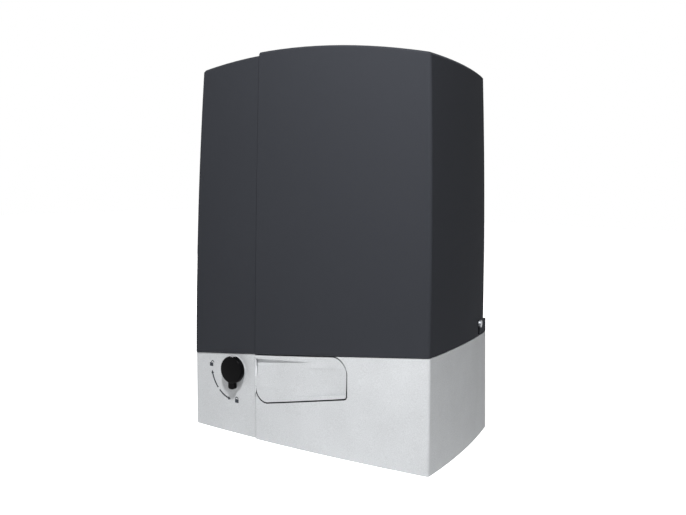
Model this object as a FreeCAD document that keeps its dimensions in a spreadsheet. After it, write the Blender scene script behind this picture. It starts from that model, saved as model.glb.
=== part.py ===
"""Sliding gate motor: parametric assembly of the housing, the release and the drive.

Millimetres, +Z up. The front faces -Y and the output pinion stands out of the rear, at +Y.
The origin lies on the base's underside, at the centre of the four anchor slots.
"""
import FreeCAD, Part
import math
import os
import re

import Sketcher

os.makedirs("parts", exist_ok=True)
doc = FreeCAD.newDocument("SlidingGateMotor")
V = FreeCAD.Vector
TO_REAR = FreeCAD.Rotation(V(1, 0, 0), -90)      # local Z turned to +Y
TO_RIGHT = FreeCAD.Rotation(V(0, 1, 0), 90)      # local Z turned to +X
UPRIGHT = FreeCAD.Rotation(V(1, 0, 0), 90)       # a sketch's local Y turned to +Z, its normal to -Y
FACING_X = FreeCAD.Rotation(V(1, 1, 1), 120)     # a sketch's local X, Y turned to +Y, +Z
FLAT = FreeCAD.Rotation()

# ---------------------------------------------------------------- driving dimensions
SIZES = """
body_width 290          width over the front corners
body_depth 176          depth of the body at the parting line
body_height 394         height at the crown's centre
crown_radius 737        arch of the top, seen from the front
crown_rear_drop 10.6    fall of the top from front to rear
front_bow 6             rise of the bowed front
side_bow 4.5            rise of the bowed sides
rear_narrowing 27       how far each rear corner lies inside the front corner
side_draft 9            inset of the sides at the top
front_draft 3.4         inset of the front at the top
rear_draft 4            inset of the rear at the top
rear_setback 12         cover's rear wall in front of its ledge
ledge_height 15         height of the rear ledge above the parting line
ledge_reach 28          ledge's front end, before the base's rear
base_side_flare 0.7     how far the base's sides lean out at the foot
base_front_tuck 2.6     how far the base's front leans in at the foot
base_rear_flare 7       how far the base's rear leans out at the foot
parting_left 77.5       parting line's height at the left corner
parting_right 109       parting line's height at the right corner
parting_bow 1.2         rise of the parting line's middle
parting_gap 0.6         gap between cover and base
seam_x -52.3            right-hand section's edge
seam_gap 2.6            width of the groove between the sections
seam_depth 3            depth of the groove below the left section
left_step 2.5           how far the left section lies back
cover_wall 2.6          cover's wall
edge_radius 2.8         rounding of the upright front edges
rim_chamfer 1.9         easing of the cover's top rim
base_wall 5.5           base's wall, with the tongue inside the cover
floor_thickness 6       base's floor
tongue_height 8         base's tongue inside the cover
tongue_gap 0.8          gap between tongue and cover
slot_spacing_x 205      anchor slots, across
slot_spacing_y 92       anchor slots, front to rear
slot_length 26          anchor slots, end to end
slot_radius 5.5         anchor slots, half width
levelling_x 124         levelling screws, from the middle
levelling_y 62          levelling screws, from the middle
levelling_rear_in 22    how much closer the rear pair stands
levelling_radius 4      levelling screw's thread
levelling_length 34     levelling screw
levelling_boss 8.5      boss radius
levelling_boss_height 22
cable_x -82             cable entry's centre
cable_y 0               cable entry's centre
cable_length 44         cable entry, end to end
cable_radius 13         cable entry, half width
grommet_wall 2          rubber edging
output_z 70             height of the output shaft
shaft_radius 10         output shaft
shaft_front -27         output shaft's front end
shaft_end 121.5         output shaft's rear end
pinion_module 4
pinion_teeth 18
pinion_width 28
pinion_front 93.5       pinion's inner face
wheel_module 2.5
wheel_teeth 38
wheel_width 18
wheel_y 30              wheel's middle plane
worm_pitch_radius 10.5
worm_core_radius 7.2
worm_tip_radius 12.6
motor_radius 40
motor_bottom 134        joint face of motor and gearcase
motor_height 118
bell_height 13
case_wall 4.5
case_clearance 3        space around the wheel
case_cover_thickness 6
case_front -12          front joint face of the gearcase
bearing_width 9
bearing_radius 19
seal_width 7
running_fit 0.05        radial clearance of what turns or slides
seat_gap 0.02           clearance of what is seated
collar_length 17
collar_radius 18
collar_travel 7
fork_groove 4.4
rail_radius 4
rail_x -33
rail_front -66
screw_radius 2.5
cap_x -82               lock's centre
cap_z 69.1              lock's centre
cap_radius 14.2
cap_thickness 6.2
cap_edge 1.8            rounding around the cap's face
cap_crown 0.5           height of the face's dome
cap_tab_width 8
cap_tab_thickness 4.4
cap_tab_radius 2.5
cap_tab_reach 20.3      tab's end below the lock's centre
cap_hinge_drop 1.4      cap's hinge below its top
cap_hinge_out 4.4       cap's hinge in front of the lock's pad
cap_ear_radius 1.5
cap_ear_width 4
cap_pin_radius 0.8
cap_pin_length 9
lock_face -89.6         flat face of the lock's pad
lock_pad_radius 13.4
barrel_radius 7
barrel_length 26
flap_right 58.6         flap's right edge
flap_low_left 41.2      flap's lower edge, at its left
flap_low_right 59.6     flap's lower edge, at its right
flap_left_radius 14
flap_top_radius 15
flap_corner_radius 3
flap_gap 1.5            gap around the flap
flap_hinge_gap 0.5      gap at the flap's left end
flap_thickness 6
flap_lip 3.6            height of the flap's upper lip, left
flap_lip_spread 1.6     how much higher the lip is at its far end
flap_scoop 3.6          depth of the flap's hollows
flap_ledge 4.6          height of the flap's lower ledge
flap_edge 0.8           flap's edge in front of its finger recess
pocket_depth 9
pocket_wall_thickness 3
hinge_in_groove 1.1     hinge's axis left of the right section's edge
hinge_radius 2.2        round end of the lip, on the hinge
knuckle_radius 1.7
knuckle_length 10
hinge_pin_radius 1
hinge_boss_radius 1.9
hinge_boss_height 7
hinge_clearance 0.35
end_gap 0.4             gaps along the hinge
cover_screw_y 56
cover_screw_rise 13.5   above the parting line
cover_screw_radius 2.2
cover_screw_head 3.8
screw_head_gap 0.6      gap between a screw's head and the cover
cover_screw_play 1.2    clearance of the cover's slots around the screws
screw_lug_gap 2.8       gap between the screws' lugs and the cover
tray_left -112
tray_right -14
tray_bottom 112
tray_top 318
tray_y -36
tray_wall 3
board_standoff 5
board_thickness 1.6
board_margin 5
"""
dims = doc.addObject("Spreadsheet::Sheet", "Dims")
NAMES = []
for row, line in enumerate(SIZES.strip().splitlines(), 1):
    name, value, *note = line.split(None, 2)
    dims.set("A%d" % row, value)
    dims.setAlias("A%d" % row, name)
    NAMES.append(name)
doc.recompute()
WORD = re.compile(r"[a-z_]{3,}")


def expr(text):
    """The same formula with each size read from the sheet."""
    return WORD.sub(lambda m: "Dims." + m.group() if m.group() in NAMES else m.group(), str(text))


def value(text):
    """A formula's present value."""
    return float(dims.evalExpression(expr(text)))


def bind(obj, **formulas):
    """Tie properties to formulas; double underscores stand for dots."""
    for prop, text in formulas.items():
        obj.setExpression(prop.replace("__", "."), expr(text))
    return obj


def place(obj, x="0", y="0", z="0", turn=FLAT):
    """Give an object a bound position and a fixed direction."""
    obj.Placement = FreeCAD.Placement(V(), turn)
    for axis, text in zip("xyz", (x, y, z)):
        obj.setExpression("Placement.Base." + axis, expr(text))
    return obj


# ---------------------------------------------------------------- sketches and solids
def outline(sketch, points, sags=None):
    """Draw a closed outline counter-clockwise; a sag bows an edge outward into an arc."""
    spots = [V(value(x), value(y), 0) for x, y in points]
    count = len(points)
    sags = sags or {}
    heads, tails = [], []
    for i in range(count):
        a, b = spots[i], spots[(i + 1) % count]
        if i in sags:
            along = b - a
            outward = V(along.y, -along.x, 0).normalize()
            sag = value(sags[i])
            index = sketch.addGeometry(Part.Arc(a, (a + b) * 0.5 + outward * sag, b))
            heads.append((index, 1 if sag > 0 else 2))
            tails.append((index, 2 if sag > 0 else 1))
        else:
            index = sketch.addGeometry(Part.LineSegment(a, b))
            heads.append((index, 1))
            tails.append((index, 2))
    for i in range(count):
        sketch.addConstraint(Sketcher.Constraint("Coincident", *tails[i - 1], *heads[i]))
    for i, (x, y) in enumerate(points):
        for kind, text, now in (("DistanceX", x, spots[i].x), ("DistanceY", y, spots[i].y)):
            number = sketch.addConstraint(Sketcher.Constraint(kind, -1, 1, *heads[i], now))
            sketch.setExpression("Constraints[%d]" % number, expr(text))
    for i, sag in sags.items():
        (xa, ya), (xb, yb) = points[i], points[(i + 1) % count]
        half = "((((%s) - (%s))^2 + ((%s) - (%s))^2) / 4)" % (xb, xa, yb, ya)
        text = "(%s + (%s)^2) / (2 * abs(%s))" % (half, sag, sag)
        number = sketch.addConstraint(Sketcher.Constraint("Radius", heads[i][0], value(text)))
        sketch.setExpression("Constraints[%d]" % number, expr(text))
    return sketch


def loose_sketch(name, points, sags=None, turn=FLAT, **spot):
    """A sketch outside any body, used by lofts and extrusions."""
    sketch = doc.addObject("Sketcher::SketchObject", name)
    place(sketch, turn=turn, **spot)
    return outline(sketch, points, sags)


def loft(name, sections, ruled=False):
    obj = doc.addObject("Part::Loft", name)
    obj.Sections = sections
    obj.Solid = True
    obj.Ruled = ruled
    return obj


def extrude(name, sketch, direction, forward, back="0"):
    obj = doc.addObject("Part::Extrusion", name)
    obj.Base = sketch
    obj.DirMode = "Custom"
    obj.Dir = V(*direction)
    obj.Solid = True
    return bind(obj, LengthFwd=forward, LengthRev=back)


def box(name, x0, x1, y0, y1, z0, z1):
    obj = doc.addObject("Part::Box", name)
    place(obj, x0, y0, z0)
    return bind(obj, Length="(%s) - (%s)" % (x1, x0), Width="(%s) - (%s)" % (y1, y0),
                Height="(%s) - (%s)" % (z1, z0))


def cylinder(name, radius, length, turn=FLAT, **spot):
    obj = doc.addObject("Part::Cylinder", name)
    place(obj, turn=turn, **spot)
    return bind(obj, Radius=radius, Height=length)


def cone(name, low, high, length, turn=FLAT, **spot):
    obj = doc.addObject("Part::Cone", name)
    place(obj, turn=turn, **spot)
    return bind(obj, Radius1=low, Radius2=high, Height=length)


def fuse(name, *shapes):
    obj = doc.addObject("Part::MultiFuse", name)
    obj.Shapes = list(shapes)
    obj.Refine = True
    return obj


def common(name, *shapes):
    obj = doc.addObject("Part::MultiCommon", name)
    obj.Shapes = list(shapes)
    return obj


def cut(name, base, *tools):
    obj = doc.addObject("Part::Cut", name)
    obj.Base = base
    obj.Tool = tools[0] if len(tools) == 1 else fuse(name + "Tools", *tools)
    obj.Refine = True
    return obj


def tube(name, outer, inner, length, turn=FLAT, **spot):
    return cut(name, cylinder(name + "Outer", outer, length, turn, **spot),
               cylinder(name + "Inner", inner, length, turn, **spot))


def slot(name, half_width, length, depth, x, y, z):
    """An upright block with round ends, long side along X."""
    reach = "((%s) / 2 - (%s))" % (length, half_width)
    ends = [cylinder(name + "End%d" % i, half_width, depth, x="(%s) %s %s" % (x, sign, reach), y=y, z=z)
            for i, sign in enumerate("-+")]
    middle = box(name + "Middle", "(%s) - %s" % (x, reach), "(%s) + %s" % (x, reach),
                 "(%s) - (%s)" % (y, half_width), "(%s) + (%s)" % (y, half_width), z,
                 "(%s) + (%s)" % (z, depth))
    return fuse(name, *ends, middle)


FINISHED = []


def finish(node, obj):
    """Name a finished sub-part after its node."""
    obj.Label = node
    FINISHED.append(obj)
    return obj


# ---------------------------------------------------------------- housing envelopes
REACH = 170           # half size of the working blocks around the body
LOFT_LOW, LOFT_MID, LOFT_HIGH = 60, 230, 400
LOW, HIGH = "-10", "(body_height + 20)"
PARTING_MID = "((parting_left + parting_right) / 2)"
BASE_TOP = "(parting_right + 20)"    # upper plan of the base's block, above its highest edge


def plan(name, z, side_in, front_in, rear_in):
    """Bowed plan outline at one height, narrower at the rear."""
    front_x = "(body_width / 2 - (%s))" % side_in
    rear_x = "(%s - rear_narrowing)" % front_x
    front_y = "(-body_depth / 2 + (%s))" % front_in
    rear_y = "(body_depth / 2 - (%s))" % rear_in
    inner_x, corner_y = "(%s - edge_radius)" % front_x, "(%s + edge_radius)" % front_y
    corner = "0.26 * edge_radius"
    return loose_sketch(name,
                        [("-" + inner_x, front_y), (inner_x, front_y), (front_x, corner_y), (rear_x, rear_y),
                               ("-" + rear_x, rear_y), ("-" + front_x, corner_y)],
                        {0: "front_bow", 1: corner, 2: "side_bow", 4: "side_bow", 5: corner}, z=z)


def rear_wall(z, inset):
    """The cover's leaning rear wall at one height."""
    return "(body_depth / 2 - rear_setback - (%s) - rear_draft * (%s - %s) / (body_height - %s))" % (
        inset, z, PARTING_MID, PARTING_MID)


def cover_block(name, inset):
    """Barrel-sided block of the cover: the draft grows with the square of the height, and the rear leans."""
    sections = []
    for i, z in enumerate((LOFT_LOW, LOFT_MID, LOFT_HIGH)):
        share = "0" if i == 0 else "(((%s - %s) / (body_height - %s)) ^ 2)" % (z, PARTING_MID, PARTING_MID)
        sections.append(plan(name + "Plan%d" % i, z, "side_draft * %s + %s" % (share, inset),
                             "front_draft * %s + %s" % (share, inset), inset))
    room = loose_sketch(name + "Rear", [("-%d" % REACH, LOW), (rear_wall(LOW, inset), LOW),
                                        (rear_wall(HIGH, inset), HIGH), ("-%d" % REACH, HIGH)],
                        turn=FACING_X, x="-%d" % REACH)
    return common(name, loft(name + "Loft", sections),
                  extrude(name + "Room", room, (1, 0, 0), "2 * %d" % REACH))


def base_block(name, inset):
    """Block of the base, leaning a little from the foot to the parting line."""
    foot = plan(name + "Foot", "0", "%s - base_side_flare" % inset, "%s + base_front_tuck" % inset,
                "%s - base_rear_flare" % inset)
    top = plan(name + "Top", BASE_TOP, inset, inset, inset)
    return loft(name, [foot, top], ruled=True)


def parting_z(x, shift="0"):
    """Height of the straight chord under the parting line."""
    slope = "(parting_right - parting_left) / body_width"
    return "(%s + (%s) * (%s) + (%s))" % (PARTING_MID, slope, x, shift)


def crown_block(name, lower, inset="0"):
    """Block between the parting line, raised by lower, and the arched top, lowered by inset."""
    sections = []
    for i, (y, drop) in enumerate(((-110, 0), (-10, 0.25), (90, 1))):
        radius = "(crown_radius - (%s))" % inset
        top = "(body_height - (%s) - %s + sqrt(%s^2 - %d^2) - crown_rear_drop * %s)" % (
            inset, radius, radius, REACH, drop)
        sag = "(%s - sqrt(%s^2 - %d^2))" % (radius, radius, REACH)
        sections.append(loose_sketch(
            name + "Face%d" % i,
            [("-%d" % REACH, parting_z("-%d" % REACH, lower)), ("%d" % REACH, parting_z("%d" % REACH, lower)),
             ("%d" % REACH, top), ("-%d" % REACH, top)],
            {0: "-parting_bow", 2: sag}, turn=UPRIGHT, y=str(y)))
    return loft(name, sections)


def tub_block(name, floor, shift):
    """Block between a level floor and the parting line, raised by shift."""
    face = loose_sketch(
        name + "Face",
        [("-%d" % REACH, floor), ("%d" % REACH, floor),
         ("%d" % REACH, parting_z("%d" % REACH, shift)), ("-%d" % REACH, parting_z("-%d" % REACH, shift))],
        {2: "parting_bow"}, turn=UPRIGHT)
    return extrude(name, face, (0, 1, 0), "2 * %d" % REACH, "2 * %d" % REACH)


def sectioned(name, make, right_inset, left_inset, groove_inset, wall="0"):
    """Join the proud right section, the recessed left one and the groove; a hollow keeps the groove walls."""
    near, far = "-%d" % REACH, str(REACH)
    right_edge, left_edge = "seam_x + (%s)" % wall, "seam_x - seam_gap - (%s)" % wall
    return fuse(name,
                common(name + "Right", make(name + "RightBlock", right_inset),
                       box(name + "RightHalf", right_edge, far, near, far, LOW, HIGH)),
                common(name + "Left", make(name + "LeftBlock", left_inset),
                       box(name + "LeftHalf", near, left_edge, near, far, LOW, HIGH)),
                common(name + "Groove", make(name + "GrooveBlock", groove_inset),
                       box(name + "Band", left_edge, right_edge, near, far, LOW, HIGH)))


def eased(kind, name, obj, size, wanted):
    """Chamfer or round (Part::Chamfer, Part::Fillet) the edges that a test picks out of a block."""
    doc.recompute()
    edges = [i for i, edge in enumerate(obj.Shape.Edges, 1) if wanted(edge.BoundBox)]
    easing = doc.addObject(kind, name)
    easing.Base = obj
    easing.Edges = [(i, value(size), value(size)) for i in edges]
    return easing


def top_rim(bounds):
    return bounds.ZMin > value("0.7 * body_height")


# ---------------------------------------------------------------- cover
def cover_outside(name, inset):
    block = common(name + "Body", cover_block(name + "Sides", inset),
                   crown_block(name + "Ends", "parting_gap", inset))
    return eased("Part::Chamfer", name, block, "rim_chamfer", top_rim)


def cover_inside(name, inset):
    return common(name, cover_block(name + "Sides", inset), crown_block(name + "Ends", "-80", inset))


STEPS = ("", "left_step + ", "left_step + seam_depth + ")


def insets(extra):
    """Right, left and groove insets with the same extra wall."""
    return [step + extra for step in STEPS]


def ledge_block(name, inset, rise):
    return common(name, base_block(name + "Sides", inset), tub_block(name + "Ends", "0", rise),
                  box(name + "Rear", "-%d" % REACH, str(REACH), "body_depth / 2 - ledge_reach", str(REACH),
                      LOW, HIGH))


def ledge_outside(name, inset):
    """The rear ledge, at the base's full depth."""
    return ledge_block(name, inset, "ledge_height")


def ledge_inside(name, inset):
    return ledge_block(name, inset, "ledge_height - cover_wall")


def side_spot(y):
    """Half width of the body at one depth, at the parting line."""
    share = "((%s) / body_depth + 0.5)" % y
    return "(body_width / 2 - rear_narrowing * %s + 4 * side_bow * %s * (1 - %s))" % (share, share, share)


SCREW_X = {"Right": side_spot("cover_screw_y"), "Left": "(%s - left_step)" % side_spot("cover_screw_y")}
SCREW_Z = {"Right": parting_z(SCREW_X["Right"], "cover_screw_rise"),
           "Left": parting_z("-" + SCREW_X["Left"], "cover_screw_rise")}
below_parting = tub_block("BelowParting", "-50", "parting_gap")
outside = cut("CoverOutside",
              fuse("CoverWhole", sectioned("CoverSkin", cover_outside, *insets("0")),
                   sectioned("CoverLedge", ledge_outside, *insets("0"))),
              below_parting)
inside = fuse("CoverInside", sectioned("CoverHollow", cover_inside, *insets("cover_wall"), wall="cover_wall"),
              sectioned("LedgeHollow", ledge_inside, *insets("cover_wall"), wall="cover_wall"))
screw_slots = []
for side, x0, x1 in (("Right", "60", str(REACH)), ("Left", "-%d" % REACH, "-60")):
    screw_slots.append(cylinder("ScrewSlotEnd" + side, "cover_screw_radius + cover_screw_play",
                                "(%s) - (%s)" % (x1, x0), TO_RIGHT, x=x0, y="cover_screw_y", z=SCREW_Z[side]))
    screw_slots.append(box("ScrewSlot" + side, x0, x1,
                           "cover_screw_y - cover_screw_radius - cover_screw_play",
                           "cover_screw_y + cover_screw_radius + cover_screw_play", "parting_left - 20",
                           SCREW_Z[side]))
finish("cover", cut("Cover", outside, inside, *screw_slots))

# ---------------------------------------------------------------- flap and its pocket
FLAP_LEFT = "(seam_x + flap_hinge_gap)"
HINGE_X = "(seam_x - hinge_in_groove)"


def front_y(x, z="70"):
    """The base's front surface at one spot."""
    return ("(-body_depth / 2 - front_bow * (1 - (2 * (%s) / body_width)^2)"
            " + base_front_tuck * (1 - (%s) / %s))") % (x, z, BASE_TOP)


HINGE_FRONT = front_y(HINGE_X)
HINGE_Y = "(%s + hinge_radius + 0.1)" % HINGE_FRONT


def flap_outline(name, grow, top):
    """The flap's outline, grown evenly; top is the shift from the parting line."""
    left, right = "(%s - (%s))" % (FLAP_LEFT, grow), "(flap_right + (%s))" % grow
    low_left, low_right = "(flap_low_left - (%s))" % grow, "(flap_low_right - (%s))" % grow
    lr, tr, cr = ["(%s + (%s))" % (r, grow) for r in ("flap_left_radius", "flap_top_radius",
                                                      "flap_corner_radius")]
    shoulder = "(%s - %s)" % (right, tr)
    return loose_sketch(
        name,
        [("%s + %s" % (left, lr), low_left), ("%s - %s" % (right, cr), low_right),
         (right, "%s + %s" % (low_right, cr)), (right, "%s - %s" % (parting_z(shoulder, top), tr)),
         (shoulder, parting_z(shoulder, top)), (left, parting_z(left, top)),
         (left, "%s + %s" % (low_left, lr))],
        {1: "0.293 * " + cr, 3: "0.27 * " + tr, 6: "0.293 * " + lr}, turn=UPRIGHT)


def front_extrusion(name, sketch):
    """Extrude an upright outline through the front wall only."""
    return extrude(name, sketch, (0, -1, 0), "120", "-60")


def on_hinge(name, radius, z0, z1):
    """A rod on the flap's hinge."""
    return cylinder(name, radius, "(%s) - (%s)" % (z1, z0), x=HINGE_X, y=HINGE_Y, z=z0)


def hollow(name, x, z_deep, z_far, depth):
    """One end of a wedge-shaped hollow: deep along one edge, running out at the other."""
    y = front_y(x, z_deep)
    points = [("%s - 6" % y, z_far), ("%s - 6" % y, z_deep), ("%s + %s" % (y, depth), z_deep),
              ("%s + 0.05" % front_y(x, z_far), z_far)]
    if value(z_far) < value(z_deep):
        points = [points[0], points[3], points[2], points[1]]
    else:
        points = [points[1], points[2], points[3], points[0]]
    return loose_sketch(name, points, turn=FACING_X, x=x)


FLAP_TOP = "(parting_bow * 0.8 - parting_gap)"
LIP_TOP = parting_z("seam_x", FLAP_TOP)
LIP_LOW = "(%s - flap_lip)" % LIP_TOP
KNUCKLE_LOW = "(flap_low_left + flap_left_radius + 1)"
LEVER_LOW, LEVER_HIGH = "(flap_low_left + 21)", "(flap_low_left + 26)"
plate = cut("FlapPlate",
            common("FlapBlock", front_extrusion("FlapExtrusion", flap_outline("FlapOutline", "0", FLAP_TOP)),
                   base_block("FlapFace", "0")),
            base_block("FlapBack", "flap_thickness"))
upper = loft("UpperHollow", [
    hollow("UpperHollowDeep", "seam_x - 4", LIP_LOW, "flap_low_left + 14", "flap_scoop"),
    hollow("UpperHollowEnd", "18", parting_z("18", FLAP_TOP + " - flap_lip - flap_lip_spread"),
           "flap_low_left + 20", "0.1")], ruled=True)
lower = loft("LowerHollow", [
    hollow("LowerHollowEnd", "-4", "flap_low_left + 11", "flap_low_left + 40", "0.1"),
    hollow("LowerHollowDeep", "flap_right + 4", "flap_low_right + flap_ledge", "flap_low_right + 30",
           "flap_scoop")],
    ruled=True)
PIN_LOW = "(%s - end_gap - hinge_boss_height)" % KNUCKLE_LOW
BOSSES = {"Lower": (PIN_LOW, KNUCKLE_LOW + " - end_gap"),
          "Upper": (LIP_LOW + " - end_gap - hinge_boss_height", LIP_LOW + " - end_gap")}
boss_rooms = [on_hinge("BossRoom" + name, "hinge_boss_radius + hinge_clearance", low + " - end_gap",
                       high + " + end_gap")
              for name, (low, high) in BOSSES.items()]
RECESS_Y = "(%s + flap_edge)" % front_y("flap_right")
recess = extrude("FingerRecess", loose_sketch(
    "FingerRecessPlan", [("flap_right + 1", RECESS_Y), ("flap_right + 1", RECESS_Y + " + flap_thickness + 2"),
                         ("flap_right - flap_thickness", RECESS_Y + " + flap_thickness + 2"),
                         ("flap_right", RECESS_Y)]), (0, 0, 1), HIGH)
lever = box("FlapLever", HINGE_X + " + 4.5", HINGE_X + " + 9.5",
            HINGE_Y + " + flap_thickness - hinge_radius - 0.6",
            HINGE_Y + " + 15", LEVER_LOW, LEVER_HIGH)
lip = fuse("FlapLip", on_hinge("FlapLipEnd", "hinge_radius", LIP_LOW, LIP_TOP),
           box("FlapLipBar", HINGE_X, "seam_x + 4", HINGE_FRONT + " + 0.1", HINGE_Y + " + hinge_radius",
               LIP_LOW,
               LIP_TOP))
KNUCKLE_HIGH = KNUCKLE_LOW + " + knuckle_length"
knuckle = fuse("FlapKnuckle", on_hinge("FlapKnuckleEye", "knuckle_radius", KNUCKLE_LOW, KNUCKLE_HIGH),
               box("FlapKnuckleWeb", HINGE_X, "seam_x + 4", HINGE_Y + " - knuckle_radius + 0.2",
                   HINGE_Y + " + knuckle_radius", KNUCKLE_LOW, KNUCKLE_HIGH))
finish("release_flap",
       cut("ReleaseFlap", fuse("FlapSolid", cut("FlapScooped", plate, upper, lower, recess, *boss_rooms), lip,
                                               knuckle, lever),
                           on_hinge("FlapPinHole", "hinge_pin_radius + running_fit", "20", "120")))
finish("flap_hinge_pin", on_hinge("FlapHingePin", "hinge_pin_radius", PIN_LOW + " + 0.5", LIP_TOP + " - 0.3"))

# ---------------------------------------------------------------- base casting
def base_solid(name, inset):
    return common(name, base_block(name + "Sides", inset), tub_block(name + "Ends", "0", "0"))


def base_hollow(name, inset):
    return common(name, base_block(name + "Sides", inset), tub_block(name + "Ends", "floor_thickness", "40"))


def base_tongue(name, inset):
    return common(name, base_block(name + "Sides", inset), tub_block(name + "Ends", "20", "tongue_height"))


CASE_RADIUS = "(wheel_module * (wheel_teeth / 2 + 1) + case_clearance + case_wall)"
tub = cut("BaseTub", fuse("BaseWhole", sectioned("BaseSkin", base_solid, *insets("0")),
                          sectioned("Tongue", base_tongue, *insets("cover_wall + tongue_gap"),
                                    wall="cover_wall + tongue_gap")),
          sectioned("BaseHollow", base_hollow, *insets("base_wall"), wall="base_wall"))
pocket_wall = cut("PocketWall",
                  common("PocketWallBlock", front_extrusion("PocketWallExtrusion",
                         flap_outline("PocketWallOutline", "flap_gap + pocket_wall_thickness", "0")),
                         base_block("PocketWallFace", "pocket_wall_thickness"),
                         box("PocketWallRight", "seam_x", str(REACH), "-%d" % REACH, str(REACH), LOW, HIGH)),
                  base_block("PocketWallBack", "pocket_depth + pocket_wall_thickness"))
groove_bosses, reliefs = [], []
for name, top in (("Lower", KNUCKLE_HIGH + " + end_gap"), ("Upper", LIP_TOP + " + 5")):
    low, high = BOSSES[name]
    groove_bosses.append(on_hinge("HingeBoss" + name, "hinge_boss_radius", low, high))
    groove_bosses.append(box("HingeBossWeb" + name, HINGE_X + " - 0.8", HINGE_X + " + 0.8", HINGE_Y,
                             HINGE_FRONT + " + left_step + seam_depth + 0.5", low, high))
    reliefs.append(on_hinge("HingeRelief" + name, "hinge_radius + hinge_clearance", high, top))
bosses, holes = [], []
for i, (sx, sy) in enumerate(((1, 1), (-1, 1), (-1, -1), (1, -1)), 1):
    x = "%d * (levelling_x - %s)" % (sx, "levelling_rear_in" if sy > 0 else "0")
    y = "%d * levelling_y" % sy
    bosses.append(cylinder("LevellingBoss%d" % i, "levelling_boss", "levelling_boss_height", x=x, y=y))
    holes.append(cylinder("LevellingHole%d" % i, "levelling_radius + seat_gap", "60", x=x, y=y, z="-5"))
    finish("levelling_screw_%d" % i, cylinder("LevellingScrew%d" % i, "levelling_radius", "levelling_length",
                                              x=x, y=y, z="0.3"))
    holes.append(slot("AnchorSlot%d" % i, "slot_radius", "slot_length", "20", "%d * slot_spacing_x / 2" % sx,
                      "%d * slot_spacing_y / 2" % sy, "-5"))
for side, sign in (("Right", ""), ("Left", "-")):
    lug_x = "(%s - cover_wall - screw_lug_gap)" % SCREW_X[side]
    low, high = ("%s - 9" % lug_x, lug_x) if side == "Right" else ("-" + lug_x, "-%s + 9" % lug_x)
    bosses.append(box("ScrewLug" + side, low, high, "cover_screw_y - 7", "cover_screw_y + 7",
                      "%s - 22" % SCREW_Z[side], "%s + 6" % SCREW_Z[side]))
SIDE_SLOPE = "((rear_narrowing - 4 * side_bow * (1 - 2 * (cover_screw_y / body_depth + 0.5))) / body_depth)"


def side_screw_rod(name, sign, radius, start, length):
    """A rod square to the bowed side, from start, measured outward from its surface."""
    angle = math.degrees(math.atan(value(SIDE_SLOPE)))
    turn = FreeCAD.Rotation(V(0, 0, 1), angle if sign > 0 else 180 - angle)
    side = "Right" if sign > 0 else "Left"
    x = "%d * (%s + (%s) * cos(atan(%s)))" % (sign, SCREW_X[side], start, SIDE_SLOPE)
    y = "cover_screw_y + (%s) * sin(atan(%s))" % (start, SIDE_SLOPE)
    return cylinder(name, radius, length, turn * TO_RIGHT, x=x, y=y, z=SCREW_Z[side])


for side, sign in (("Right", 1), ("Left", -1)):
    shank = side_screw_rod("CoverScrewShank" + side, sign, "cover_screw_radius", "-12",
                           "12.5 + screw_head_gap")
    head = side_screw_rod("CoverScrewHead" + side, sign, "cover_screw_head", "screw_head_gap", "2.2")
    holes.append(side_screw_rod("CoverScrewHole" + side, sign, "cover_screw_radius + seat_gap", "-30", "40"))
    finish("cover_screw_" + side.lower(), fuse("CoverScrew" + side, shank, head))
holes.append(slot("CableEntry", "cable_radius + grommet_wall", "cable_length + 2 * grommet_wall", "30",
                  "cable_x",
                  "cable_y", "-5"))
holes.append(cylinder("OutputHole", "bearing_radius + 4.5", "60", TO_REAR, y="body_depth / 2 - 30",
                      z="output_z"))
holes.append(cylinder("LockHole", "barrel_radius + 2.6", "40", TO_REAR, x="cap_x", y="-body_depth / 2 - 20",
                      z="cap_z"))
pocket = cut("Pocket", common("PocketBlock", front_extrusion("PocketExtrusion",
             flap_outline("PocketOutline", "flap_gap", FLAP_TOP + " + flap_gap")),
             box("PocketRight", "seam_x", str(REACH), "-%d" % REACH, "0", LOW, HIGH)),
             base_block("PocketBack", "pocket_depth"))
lever_way = box("LeverWay", HINGE_X + " + 2", HINGE_X + " + 19", HINGE_Y, HINGE_Y + " + 19",
                LEVER_LOW + " - 0.6",
                LEVER_HIGH + " + 0.6")
pin_way = on_hinge("HingePinWay", "hinge_pin_radius + seat_gap", PIN_LOW + " + 0.4", LIP_TOP)
lock_pad = cylinder("LockPad", "lock_pad_radius", "8", TO_REAR, x="cap_x", y="lock_face", z="cap_z")
case_pads = box("CasePads", "-56", "56", "wheel_y - 38", "wheel_y + 16", "1", "floor_thickness + 2")
joined = fuse("BaseJoined", tub, pocket_wall, case_pads, lock_pad, *bosses, *groove_bosses)
finish("base_casting",
       cut("BaseCasting", cut("BaseRaw", joined, pocket, lever_way, *holes, *reliefs), pin_way))

# ---------------------------------------------------------------- cable entry and lock
sleeve = slot("GrommetSleeve", "cable_radius + grommet_wall - seat_gap", "cable_length + 2 * grommet_wall",
              "floor_thickness + 2", "cable_x", "cable_y", "0.3")
flange = slot("GrommetFlange", "cable_radius + 2 * grommet_wall", "cable_length + 4 * grommet_wall", "2",
              "cable_x", "cable_y", "floor_thickness + 0.3")
finish("cable_grommet", cut("CableGrommet", fuse("GrommetBody", sleeve, flange),
                            slot("GrommetBore", "cable_radius", "cable_length", "40", "cable_x", "cable_y",
                                 "-5")))
lock_spot = {"x": "cap_x", "z": "cap_z"}
key_barrel = fuse("LockBarrelBody",
                  cylinder("LockPlug", "barrel_radius", "23", TO_REAR, y="lock_face - 1.2", **lock_spot),
                  cylinder("LockTail", "4", "barrel_length + 1.2", TO_REAR, y="lock_face - 1.2", **lock_spot))
finish("lock_barrel", cut("LockBarrel", key_barrel,
                          box("KeyWay", "cap_x - 0.9", "cap_x + 0.9", "lock_face - 2", "lock_face + 14",
                              "cap_z - 3.6", "cap_z + 3.6")))
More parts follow.
